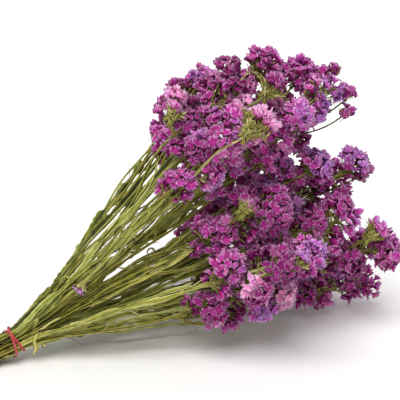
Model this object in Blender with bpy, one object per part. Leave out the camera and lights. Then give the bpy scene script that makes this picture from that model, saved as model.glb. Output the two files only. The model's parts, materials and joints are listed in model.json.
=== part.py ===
# A dried statice bunch: winged stems tied near their cut ends by a doubled
# rubber band, fanning out to lumpy flower heads. It lies on its side.
# Metres, +X along the bunch to the flowers, +Z up, floor at z = 0.

import math
import random

import bpy
from mathutils import Vector

# Where each stem sits in the band is also the way it leaves it: the stems are
# laid out by the angle they fan out at, row by row up from the floor.
# Each row: rise above the floor in degrees, swing of its first stem, and the
# reach from the band to the tip of each head, from the near side to the far.
ROWS = (
    (1.5, -5.25, (0.440, 0.415, 0.385)),
    (11.2, -21.00, (0.308, 0.445, 0.405, 0.425, 0.390)),
    (20.2, -26.25, (0.345, 0.400, 0.455, 0.400, 0.420, 0.400)),
    (29.2, -21.00, (0.335, 0.390, 0.440, 0.425, 0.405)),
    (38.2, -15.75, (0.450, 0.440, 0.405, 0.400)),
    (46.5, -21.00, (0.360, 0.418, 0.370)),
)
SWING_STEP = 10.5          # degrees between stems of one row
MID_RISE = 25.0            # degrees, how steeply the middle of the bunch climbs
DRIFT = 1.6                # degrees a stem may wander from its place by its head

PACKING = 0.000500         # metres apart in the band per degree apart in the fan
FLARE_FRONT = 0.026        # how soon the stems spread ahead of the band
FLARE_BACK = 0.090         # and how slowly they spread towards the cut ends
AXIS_AT_CUT = 0.0162       # height of the bunch's middle at the cut ends
BEND_START, BEND_END = -0.045, 0.015

CUT_BEHIND = 0.050         # cut ends this far behind the band, more or less
CUT_SPREAD = 0.008
NECK_RADIUS = 0.00245      # stem radius where it is squeezed by the band
WING_RADIUS = 0.0032       # tip of a wing once the stem is clear of its neighbours
CORE_RADIUS = 0.0021       # hollow between two wings
STEM_SIDES = 6

HEAD_LENGTH = 0.134        # fork of the stem to the tip of the head
LOBE_RADIUS = 0.0185       # one cluster of flowers
LOBE_OUT = 0.0215          # how far the clusters sit from the head's own line
LOBES = 7
HEAD_SIDES = 12
HEAD_RINGS = 11
CLEAR = 0.0015             # kept free on each side between neighbours
TOUCH = 0.0003             # gap left between pieces that touch

BAND_WIDTH, BAND_THICK = 0.0030, 0.0014
BAND_SWAY = 0.0062         # how far the two turns part along the bunch
BAND_LIFT = 0.00095        # how far they part where one crosses the other
BAND_CROSSING = math.radians(125)
BAND_SKIN = 0.0006          # kept between the band and the stems, corners allowed for
BAND_STEPS = 60
BAND_PROFILE = ((-0.5, 0), (-0.3, -0.5), (0.3, -0.5), (0.5, 0), (0.3, 0.5), (-0.3, 0.5))

FLORET_MOUTH, FLORET_LENGTH = 0.0036, 0.0095
FLORET_HOST = 20           # the stem that the fallen floret is caught against
FLORET_AT = 0.088          # how far along the bunch it is caught

SIDE = Vector((0, 1, 0))


def smooth(x):
    x = min(max(x, 0.0), 1.0)
    return x * x * (3 - 2 * x)


def climb(s):
    """Angle of the bunch's middle line at s metres past the band."""
    return math.radians(MID_RISE) * smooth((s - BEND_START) / (BEND_END - BEND_START))


def middle_line():
    """Points of the middle line, one per millimetre, from behind the cut ends."""
    start, step = -0.075, 0.001
    x, z, points = start, AXIS_AT_CUT, []
    for k in range(600):
        s = start + k * step
        points.append((x, z))
        x += math.cos(climb(s + step / 2)) * step
        z += math.sin(climb(s + step / 2)) * step
    return start, step, points


LINE_START, LINE_STEP, LINE = middle_line()


def middle(s):
    k = (s - LINE_START) / LINE_STEP
    i = int(k)
    (x0, z0), (x1, z1) = LINE[i], LINE[i + 1]
    return Vector((x0 + (x1 - x0) * (k - i), 0, z0 + (z1 - z0) * (k - i)))


def over(s):
    """The direction square to the middle line, pointing up."""
    return Vector((-math.sin(climb(s)), 0, math.cos(climb(s))))


def flare(s):
    return math.hypot(1.0, s / (FLARE_FRONT if s > 0 else FLARE_BACK))


class Sprig:
    """One stem with its head: its place in the fan and its own lumps."""

    def __init__(self, number, swing, rise, reach, rng):
        self.number = number
        self.swing = swing
        self.rise = rise
        self.drift_swing = rng.uniform(-DRIFT, DRIFT)
        self.drift_rise = rng.uniform(-DRIFT, DRIFT) if rise > 5 else 0.0
        self.cut = -CUT_BEHIND + rng.uniform(-CUT_SPREAD, CUT_SPREAD)
        lean = math.hypot(swing, rise - MID_RISE) * PACKING / FLARE_FRONT
        self.tip = reach / math.hypot(1.0, lean)
        self.fork = self.tip - HEAD_LENGTH
        self.turn = rng.uniform(0, 2 * math.pi)
        self.twist = rng.uniform(-1.2, 1.2)
        self.lobes = []
        for k in range(LOBES):
            part = k / (LOBES - 1)
            angle = self.turn + k * 2.4 + rng.uniform(-0.2, 0.2)
            height = HEAD_LENGTH * (0.34 + 0.46 * part) + rng.uniform(-0.004, 0.004)
            self.lobes.append((angle, LOBE_OUT, height, LOBE_RADIUS * rng.uniform(0.9, 1.06)))
        self.lobes.append((self.turn + 0.5, 0.006, HEAD_LENGTH - LOBE_RADIUS, LOBE_RADIUS))

    def place(self, s):
        """Offset from the middle line at s, across and over."""
        wander = smooth((s - 0.02) / 0.2)
        across = (self.swing + self.drift_swing * wander) * PACKING * flare(s)
        up = (self.rise - MID_RISE + self.drift_rise * wander) * PACKING * flare(s)
        return across, up

    def point(self, s, out=0.0, angle=0.0):
        across, up = self.place(s)
        across += out * math.cos(angle)
        up += out * math.sin(angle)
        return middle(s) + SIDE * across + over(s) * up

    def wanted(self, h, angle):
        """Radius of the head at height h above the fork, before neighbours push."""
        funnel = 0.003 + 0.014 * smooth(2.4 * h / HEAD_LENGTH)
        best = funnel if h < 0.7 * HEAD_LENGTH else 0.0
        for lobe_angle, lobe_out, lobe_h, radius in self.lobes:
            cos_part = lobe_out * math.cos(angle - lobe_angle)
            inside = cos_part ** 2 - lobe_out ** 2 - (h - lobe_h) ** 2 + radius ** 2
            if inside > 0:
                best = max(best, cos_part + math.sqrt(inside))
        return best

    def girth(self, s):
        """Radius of a round envelope at s, used to share out the room."""
        h = s - self.fork
        if h < -0.002:
            return WING_RADIUS
        widening = smooth((h + 0.002) / 0.050)
        closing = smooth((HEAD_LENGTH + 0.012 - h) / 0.034)
        return 0.004 + (LOBE_OUT + LOBE_RADIUS - 0.004) * min(widening, closing)

    def present(self, s):
        return s < self.fork + HEAD_LENGTH + 0.010


def plant():
    """All the sprigs, from the table of rows."""
    rng = random.Random(41)
    sprigs = []
    for rise, first, reaches in ROWS:
        for k, reach in enumerate(reaches):
            swing = first + k * SWING_STEP
            sprigs.append(Sprig(len(sprigs) + 1, swing, rise, reach, rng))
    return sprigs


def room(sprig, sprigs, s, angle):
    """How far the head may reach at s and angle before it meets a neighbour
    or the floor. Each limit is a straight edge, so the room is convex."""
    across, up = sprig.place(s)
    dx, dy = math.cos(angle), math.sin(angle)
    limit = 1.0
    for other in sprigs:
        if other is sprig or not other.present(s):
            continue
        ox, oy = other.place(s)
        gap_x, gap_y = ox - across, oy - up
        apart = math.hypot(gap_x, gap_y)
        facing = (dx * gap_x + dy * gap_y) / apart
        if facing <= 0.05:
            continue
        mine, theirs = sprig.girth(s), max(other.girth(s), other.girth(s - 0.006))
        share = apart - theirs - CLEAR
        if mine + theirs + 2 * CLEAR > apart:
            share = apart * mine / (mine + theirs) - CLEAR
        limit = min(limit, max(share, 0.001) / facing)
    down = -dy * over(s).z
    if down > 0.05:
        limit = min(limit, sprig.point(s).z / down)
    return limit


def loft(name, rings, material, closed_loop=False):
    """A closed body through rings of points, capped at both ends or looped."""
    verts = [p for ring in rings for p in ring]
    n, m = len(rings[0]), len(rings)
    faces = []
    for i in range(m if closed_loop else m - 1):
        a, b = i * n, ((i + 1) % m) * n
        for j in range(n):
            k = (j + 1) % n
            faces.append((a + j, a + k, b + k, b + j))
    if not closed_loop:
        faces.append(tuple(reversed(range(n))))
        faces.append(tuple(range((m - 1) * n, m * n)))
    mesh = bpy.data.meshes.new(name)
    mesh.from_pydata([tuple(v) for v in verts], [], faces)
    mesh.validate()
    mesh.update()
    mesh.materials.append(material)
    body = bpy.data.objects.new(name, mesh)
    bpy.context.scene.collection.objects.link(body)
    return body


def make_material(name, colour, roughness):
    material = bpy.data.materials.new(name)
    material.use_nodes = True
    shader = material.node_tree.nodes["Principled BSDF"]
    shader.inputs["Base Color"].default_value = (*colour, 1)
    shader.inputs["Roughness"].default_value = roughness
    return material


def make_stem(sprig, material):
    """Six-sided stem, round in the band, three-winged once it is free."""
    ahead = (-0.024, -0.012, 0.0, 0.012, 0.026, 0.045, 0.07, 0.11, 0.17, 0.24, 0.31)
    end = sprig.fork - TOUCH
    stations = [sprig.cut] + [s for s in ahead if s < end - 0.02] + [end]
    rings = []
    for s in stations:
        free = smooth((s - 0.02) / 0.05)
        ring = []
        for k in range(STEM_SIDES):
            tip = WING_RADIUS if k % 2 == 0 else CORE_RADIUS
            radius = NECK_RADIUS + (tip - NECK_RADIUS) * free
            angle = sprig.turn + sprig.twist * s / 0.3 + 2 * math.pi * k / STEM_SIDES
            ring.append(sprig.point(s, radius, angle))
        rings.append(ring)
    return loft("stem_%02d" % sprig.number, rings, material)


def make_head(sprig, sprigs, material):
    """Lobed head: as wide as its lobes, less where neighbours or the floor are."""
    rings = []
    for i in range(HEAD_RINGS + 1):
        part = i / HEAD_RINGS
        h = HEAD_LENGTH * (1 - (1 - part) ** 1.25)
        h = min(h, HEAD_LENGTH - 0.0012)
        s = sprig.fork + h
        ring = []
        for k in range(HEAD_SIDES):
            angle = -math.pi / 2 + (k + 0.5) * 2 * math.pi / HEAD_SIDES
            radius = max(sprig.wanted(h, angle), 0.003)
            radius = min(radius, room(sprig, sprigs, s, angle))
            ring.append(sprig.point(s, radius, angle))
        rings.append(ring)
    return loft("flower_head_%02d" % sprig.number, rings, material)


def hull_of(points):
    points = sorted(points)
    halves = []
    for run in (points, points[::-1]):
        half = []
        for p in run:
            while len(half) > 1:
                (ax, ay), (bx, by) = half[-2], half[-1]
                if (bx - ax) * (p[1] - ay) - (by - ay) * (p[0] - ax) > 0:
                    break
                half.pop()
            half.append(p)
        halves.append(half[:-1])
    return halves[0] + halves[1]


def girdle(sprigs, s, angle, skin):
    """Distance from the middle line to the outside of the tied stems, plus skin."""
    round_about = [k * math.pi / 12 for k in range(24)]
    points = []
    for sprig in sprigs:
        x, y = sprig.place(s)
        for a in round_about:
            points.append((x + (NECK_RADIUS + skin) * math.cos(a),
                           y + (NECK_RADIUS + skin) * math.sin(a)))
    edge = hull_of(points)
    dx, dy = math.cos(angle), math.sin(angle)
    for (ax, ay), (bx, by) in zip(edge, edge[1:] + edge[:1]):
        ex, ey = bx - ax, by - ay
        cross = dx * ey - dy * ex
        if abs(cross) < 1e-12:
            continue
        far = (ax * ey - ay * ex) / cross
        along = (ax * dy - ay * dx) / cross
        if far > 0 and -1e-9 <= along <= 1 + 1e-9:
            return far
    return 0.013


def make_band(sprigs, material):
    """One rubber loop wound round twice: the turns part below, cross on top."""
    skin = BAND_THICK / 2 + BAND_LIFT + BAND_SKIN
    rings = []
    for k in range(BAND_STEPS):
        t = 4 * math.pi * k / BAND_STEPS
        angle = t + BAND_CROSSING + math.pi
        s = BAND_SWAY * math.cos(t / 2)
        lift = BAND_LIFT * math.sin(t / 2)
        reach = girdle(sprigs, s, angle, skin) + lift
        outward = SIDE * math.cos(angle) + over(s) * math.sin(angle)
        along = Vector((math.cos(climb(s)), 0, math.sin(climb(s))))
        centre = middle(s) + outward * reach
        ring = []
        for wide, thick in BAND_PROFILE:
            ring.append(centre + along * wide * BAND_WIDTH + outward * thick * BAND_THICK)
        rings.append(ring)
    return loft("rubber_band", rings, material, closed_loop=True)


def make_floret(sprigs, material):
    """A fallen floret, caught against the upper near side of one stem."""
    host = sprigs[FLORET_HOST - 1]
    away = math.radians(140)
    root = host.point(FLORET_AT, WING_RADIUS + TOUCH + FLORET_MOUTH, away)
    ahead = (host.point(FLORET_AT + 0.01) - host.point(FLORET_AT)).normalized()
    out = (host.point(FLORET_AT, 0.01, away) - host.point(FLORET_AT)).normalized()
    across = ahead.cross(out).normalized()
    rings = []
    for along, radius in ((-0.5, 0.0010), (-0.1, 0.0017), (0.25, 0.0024), (0.5, FLORET_MOUTH)):
        ring = []
        for k in range(10):
            a = 2 * math.pi * k / 10
            centre = root + ahead * along * FLORET_LENGTH
            ring.append(centre + (out * math.cos(a) + across * math.sin(a)) * radius)
        rings.append(ring)
    return loft("loose_floret", rings, material)


def centre_on_floor(bodies):
    """Slide everything so the middle of its footprint is the origin."""
    corners = [v.co for body in bodies for v in body.data.vertices]
    mid_x = (min(p.x for p in corners) + max(p.x for p in corners)) / 2
    mid_y = (min(p.y for p in corners) + max(p.y for p in corners)) / 2
    for body in bodies:
        for v in body.data.vertices:
            v.co.x -= mid_x
            v.co.y -= mid_y


def main():
    for old in list(bpy.data.objects):
        bpy.data.objects.remove(old, do_unlink=True)

    stem_green = make_material("dried_stem", (0.25, 0.28, 0.05), 0.75)
    petal = make_material("papery_calyx", (0.38, 0.04, 0.32), 0.8)
    rubber = make_material("red_rubber", (0.62, 0.06, 0.08), 0.5)

    sprigs = plant()
    bodies = [make_stem(sprig, stem_green) for sprig in sprigs]
    bodies += [make_head(sprig, sprigs, petal) for sprig in sprigs]
    bodies.append(make_band(sprigs, rubber))
    bodies.append(make_floret(sprigs, petal))
    centre_on_floor(bodies)


main()
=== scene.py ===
import json
import math
import random

import bpy
from mathutils import Matrix, Vector
from mathutils.bvhtree import BVHTree

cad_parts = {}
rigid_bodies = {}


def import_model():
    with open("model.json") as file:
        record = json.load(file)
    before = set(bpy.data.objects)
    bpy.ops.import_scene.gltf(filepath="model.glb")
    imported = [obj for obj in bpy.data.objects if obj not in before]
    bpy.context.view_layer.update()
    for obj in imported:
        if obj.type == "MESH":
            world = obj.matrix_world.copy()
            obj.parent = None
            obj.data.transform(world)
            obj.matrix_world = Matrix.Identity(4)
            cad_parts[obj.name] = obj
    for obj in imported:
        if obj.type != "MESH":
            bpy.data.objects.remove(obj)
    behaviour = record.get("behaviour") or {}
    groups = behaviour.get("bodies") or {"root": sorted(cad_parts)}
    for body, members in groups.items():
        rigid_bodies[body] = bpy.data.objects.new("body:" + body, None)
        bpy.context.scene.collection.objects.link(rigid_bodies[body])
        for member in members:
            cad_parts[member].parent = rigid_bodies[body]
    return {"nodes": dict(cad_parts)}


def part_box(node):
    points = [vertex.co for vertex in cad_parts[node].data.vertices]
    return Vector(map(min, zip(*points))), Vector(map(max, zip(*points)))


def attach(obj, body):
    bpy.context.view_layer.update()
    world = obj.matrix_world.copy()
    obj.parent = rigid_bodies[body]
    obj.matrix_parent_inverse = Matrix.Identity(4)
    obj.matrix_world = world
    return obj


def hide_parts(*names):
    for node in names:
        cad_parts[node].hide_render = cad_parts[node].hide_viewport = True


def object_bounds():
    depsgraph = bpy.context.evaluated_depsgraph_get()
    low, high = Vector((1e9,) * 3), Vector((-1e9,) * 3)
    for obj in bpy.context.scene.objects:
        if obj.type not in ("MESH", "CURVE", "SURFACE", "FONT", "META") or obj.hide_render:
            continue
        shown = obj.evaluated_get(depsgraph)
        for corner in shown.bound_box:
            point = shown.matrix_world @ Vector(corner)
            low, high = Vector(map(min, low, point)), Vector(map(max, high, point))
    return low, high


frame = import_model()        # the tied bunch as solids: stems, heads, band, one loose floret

cadLow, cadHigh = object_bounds()
millimetre = 0.001
threeSides = (0, 2.1, 4.2)       # angles of a strand's corners
fullTurn = 6.28                  # radians, near enough for a random turn or a wobble
print("frame loaded")


# small helpers

def addObject(name, data):
    thing = bpy.data.objects.new(name, data)
    bpy.context.scene.collection.objects.link(thing)
    return thing


def newMesh(name, points, faces):
    mesh = bpy.data.meshes.new(name)
    mesh.from_pydata([tuple(p) for p in points], [], faces)
    mesh.shade_smooth()
    return mesh


def writeMark(mesh, name, kind, values):
    field = "vector" if kind == "FLOAT_VECTOR" else "value"
    mesh.attributes.new(name, kind, "POINT").data.foreach_set(field, values)


def flatten(vectors):
    return [c for v in vectors for c in v]


def around(side, up, angle):
    # the direction at an angle about the axis that side and up stand across
    return side * math.cos(angle) + up * math.sin(angle)


def towards(azimuth, elevation):
    # from the middle of the scene to a lens or a lamp, in degrees
    turn, lift = math.radians(azimuth), math.radians(elevation)
    return Vector((math.sin(turn) * math.cos(lift), -math.cos(turn) * math.cos(lift), math.sin(lift)))


def linearHex(code):
    # sRGB hex to the linear colour that a shader wants
    parts = [int(code[i:i + 2], 16) / 255 for i in (1, 3, 5)]
    linear = [p / 12.92 if p <= 0.04045 else ((p + 0.055) / 1.055) ** 2.4 for p in parts]
    return (*linear, 1.0)


def smoothStep(x):
    x = min(max(x, 0.0), 1.0)
    return x * x * (3 - 2 * x)


def boxMiddle(nodeName):
    low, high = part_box(nodeName)
    return (Vector(low) + Vector(high)) / 2


def newMaterial(name):
    material = bpy.data.materials.new(name)
    material.use_nodes = True
    return material, material.node_tree, material.node_tree.nodes["Principled BSDF"]


def addNode(tree, kind, inputs=None, **settings):
    # one node with its settings, values and links
    node = tree.nodes.new(kind)
    for name, value in settings.items():
        setattr(node, name, value)
    for socket, value in (inputs or {}).items():
        if isinstance(value, bpy.types.NodeSocket):
            tree.links.new(value, node.inputs[socket])
        else:
            node.inputs[socket].default_value = value
    return node


def fillRamp(node, stops):
    # stops are (place, hex)
    ramp = node.color_ramp
    while len(ramp.elements) > 1:
        ramp.elements.remove(ramp.elements[-1])
    ramp.elements[0].position = stops[0][0]
    ramp.elements[0].color = linearHex(stops[0][1])
    for place, code in stops[1:]:
        ramp.elements.new(place).color = linearHex(code)
    return node


# camera: beside the bunch and a little above it, flowers further off than the band

cameraSet = {
    "azimuth": -26.0,
    "elevation": 18.0,
    "distance": 1.40,           # from the lens to the band's depth
    "frameWidth": 0.432,        # metres across the picture at that depth
    "bandPixel": (15, 341),     # where the band sits in the 400 px photograph
    "pixels": 400,
    "sensor": 36.0,
    "clip": (0.05, 50),
}


def makeCamera(settings):
    turn = math.radians(settings["azimuth"])
    back = towards(settings["azimuth"], settings["elevation"])
    right = Vector((math.cos(turn), math.sin(turn), 0))
    up = back.cross(right)
    metresPerPixel = settings["frameWidth"] / settings["pixels"]
    half = settings["pixels"] / 2
    bandX, bandY = settings["bandPixel"]
    aim = boxMiddle("rubber_band")
    aim = aim - right * (bandX - half) * metresPerPixel + up * (bandY - half) * metresPerPixel
    place = aim + back * settings["distance"]
    data = bpy.data.cameras.new("photoCamera")
    data.sensor_width = settings["sensor"]
    data.lens = settings["sensor"] * settings["distance"] / settings["frameWidth"]
    data.clip_start, data.clip_end = settings["clip"]
    camera = addObject("photoCamera", data)
    camera.matrix_world = Matrix.Translation(place) @ Matrix((right, up, back)).transposed().to_4x4()
    bpy.context.scene.camera = camera
    return {"place": place, "right": right, "up": up, "back": back,
            "focal": settings["distance"] / metresPerPixel, "half": half}


photoView = makeCamera(cameraSet)


def toPixel(point):
    # where a point shows in the 400 px picture, and how far it is
    ray = Vector(point) - photoView["place"]
    depth = -ray.dot(photoView["back"])
    scale = photoView["focal"] / depth
    return (photoView["half"] + ray.dot(photoView["right"]) * scale,
            photoView["half"] - ray.dot(photoView["up"]) * scale, depth)


def pictureWay(across, upwards, nearer):
    # a direction by the picture's right, its top, and the lens
    return photoView["right"] * across + photoView["up"] * upwards + photoView["back"] * nearer


def pixelRay(pixel):
    # from the lens through a pixel, one metre deep
    x, y = ((c - photoView["half"]) / photoView["focal"] for c in pixel)
    return pictureWay(x, -y, -1)


def pointAt(pixel, depth):
    return photoView["place"] + pixelRay(pixel) * depth


# light and floor: a pale sweep under soft studio light

studioSet = {
    "floorColour": "#f7f6f4",
    "floorPale": "#faf9f8", "cloudScale": 3.0,
    "floorReach": 6.0,
    "keyTurn": -44.0, "keyLift": 60.0,    # degrees: from the upper left, beside the camera
    "keySpread": 44.0, "keyAway": 3.0, "keyPower": 2.5,
    "lampTarget": (0.05, 0, 0.13),
    "fillPlace": (1.7, -1.4, 0.9), "fillSize": 1.6, "fillPower": 5,
    "rimPlace": (0.9, 1.5, 1.5), "rimSize": 1.2, "rimPower": 6,
    "skyColour": "#ffffff", "skyPower": 0.45,
}


def makeLamp(name, kind, place, target, power):
    data = bpy.data.lights.new(name, kind)
    data.energy = power
    lamp = addObject(name, data)
    lamp.location = place
    lamp.rotation_euler = (Vector(place) - Vector(target)).to_track_quat("Z", "Y").to_euler()
    return data


def makeLights(settings):
    key = towards(settings["keyTurn"], settings["keyLift"]) * settings["keyAway"]
    lamp = makeLamp("keyLight", "SUN", key, (0, 0, 0), settings["keyPower"])
    lamp.angle = math.radians(settings["keySpread"])
    for kind in ("fill", "rim"):
        lamp = makeLamp(kind + "Light", "AREA", settings[kind + "Place"], settings["lampTarget"],
                        settings[kind + "Power"])
        lamp.shape = "DISK"
        lamp.size = settings[kind + "Size"]
    world = bpy.data.worlds.new("studioSky")
    world.use_nodes = True
    sky = world.node_tree.nodes["Background"]
    sky.inputs["Color"].default_value = linearHex(settings["skyColour"])
    sky.inputs["Strength"].default_value = settings["skyPower"]
    bpy.context.scene.world = world
    bpy.context.scene.view_settings.view_transform = "Standard"


def makeFloor(settings):
    # painted board: matt and even, with a breath of unevenness from the roller
    board, tree, shader = newMaterial("paintedBoard")
    place = addNode(tree, "ShaderNodeTexCoord")
    cloud = addNode(tree, "ShaderNodeTexNoise", {"Vector": place.outputs["Object"],
                                                 "Scale": settings["cloudScale"]})
    tone = fillRamp(addNode(tree, "ShaderNodeValToRGB", {"Fac": cloud.outputs["Fac"]}),
                    [(0.3, settings["floorColour"]), (0.7, settings["floorPale"])])
    tree.links.new(tone.outputs["Color"], shader.inputs["Base Color"])
    shader.inputs["Roughness"].default_value = 0.9
    reach = settings["floorReach"]
    corners = [(-reach, -reach, 0), (reach, -reach, 0), (reach, reach, 0), (-reach, reach, 0)]
    floor = addObject("studioFloor", newMesh("studioFloor", corners, [(0, 1, 2, 3)]))
    floor.data.materials.append(board)


makeLights(studioSet)
makeFloor(studioSet)
print("camera, light and floor ready")


# materials

markNames = ("tone", "leaf", "cut", "warm")      # what the stem material reads, beside "skin"


def makeDriedStem():
    # Dried statice stem, grown and air dried: matt olive skin that has gone
    # straw yellow and brown in patches, with fine ribs running along it.
    # "skin" is the place on the stem as if it were straight, z along it. "tone"
    # lightens: each stem's own tone, with painted shade in the creases by the core
    # and painted highlight on the wings' edges. "warm" turns it to straw, "leaf" to
    # bract and "cut" to pale pith.
    material, tree, shader = newMaterial("airDriedStem")
    # The ribs are drawn coarser than real ones, so that they show.
    skin = addNode(tree, "ShaderNodeAttribute", attribute_name="skin").outputs["Vector"]
    tone, leaf, cut, warm = (
        addNode(tree, "ShaderNodeAttribute", attribute_name=name).outputs["Fac"] for name in markNames)
    ribs = addNode(tree, "ShaderNodeMapping", {"Vector": skin, "Scale": (1.0, 1.0, 0.05)})
    streak = addNode(tree, "ShaderNodeTexNoise", {"Vector": ribs.outputs["Vector"],
                                                  "Scale": 1 / (1.7 * millimetre), "Detail": 3.0,
                                                  "Roughness": 0.65})
    patchy = addNode(tree, "ShaderNodeTexNoise", {"Vector": skin, "Scale": 1 / (13 * millimetre),
                                                  "Detail": 4.0})
    mixed = addNode(tree, "ShaderNodeMath", {0: streak.outputs["Fac"], 1: 0.50}, operation="MULTIPLY")
    mixed = addNode(tree, "ShaderNodeMath", {0: patchy.outputs["Fac"], 1: 0.50,
                                             2: mixed.outputs["Value"]}, operation="MULTIPLY_ADD")
    mixed = addNode(tree, "ShaderNodeMath", {0: tone, 1: 0.42,
                                             2: mixed.outputs["Value"]}, operation="MULTIPLY_ADD")
    green = fillRamp(addNode(tree, "ShaderNodeValToRGB", {"Fac": mixed.outputs["Value"]}),
                     [(0.30, "#171d02"), (0.48, "#545f18"), (0.64, "#889138"),
                      (0.82, "#b0b35c"), (1.0, "#d0d096")])
    straw = fillRamp(addNode(tree, "ShaderNodeValToRGB", {"Fac": mixed.outputs["Value"]}),
                     [(0.30, "#2a2404"), (0.48, "#736919"), (0.64, "#a69c38"),
                      (0.82, "#c7bc62"), (1.0, "#dcd298")])
    patch = addNode(tree, "ShaderNodeMath", {0: patchy.outputs["Fac"], 1: 1.1,
                                             2: warm}, operation="MULTIPLY_ADD")
    patch = addNode(tree, "ShaderNodeMapRange", {"Value": patch.outputs["Value"], "From Min": 0.70,
                                                 "From Max": 1.60})
    green = addNode(tree, "ShaderNodeMix", {0: patch.outputs["Result"], 6: green.outputs["Color"],
                                            7: straw.outputs["Color"]}, data_type="RGBA")
    bract = fillRamp(addNode(tree, "ShaderNodeValToRGB", {"Fac": mixed.outputs["Value"]}),
                     [(0.30, "#3e4212"), (0.52, "#7f7f34"), (0.72, "#b2ac5a"), (0.94, "#dfd39c")])
    colour = addNode(tree, "ShaderNodeMix", {0: leaf, 6: green.outputs[2],
                                             7: bract.outputs["Color"]}, data_type="RGBA")
    spot = addNode(tree, "ShaderNodeTexNoise", {"Vector": skin, "Scale": 1 / (6 * millimetre),
                                                "Detail": 3.0})
    spot = addNode(tree, "ShaderNodeMapRange", {"Value": spot.outputs["Fac"], "From Min": 0.63,
                                                "From Max": 0.76, "To Max": 0.55})
    colour = addNode(tree, "ShaderNodeMix", {0: spot.outputs["Result"], 6: colour.outputs[2],
                                             7: linearHex("#6a4d20")}, data_type="RGBA")
    colour = addNode(tree, "ShaderNodeMix", {0: cut, 6: colour.outputs[2],
                                             7: linearHex("#b3a473")}, data_type="RGBA")
    tree.links.new(colour.outputs[2], shader.inputs["Base Color"])
    bump = addNode(tree, "ShaderNodeBump", {"Height": streak.outputs["Fac"], "Strength": 0.7,
                                            "Distance": 0.5 * millimetre})
    tree.links.new(bump.outputs["Normal"], shader.inputs["Normal"])
    shader.inputs["Roughness"].default_value = 0.52
    shader.inputs["Specular IOR Level"].default_value = 0.30
    return material


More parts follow.
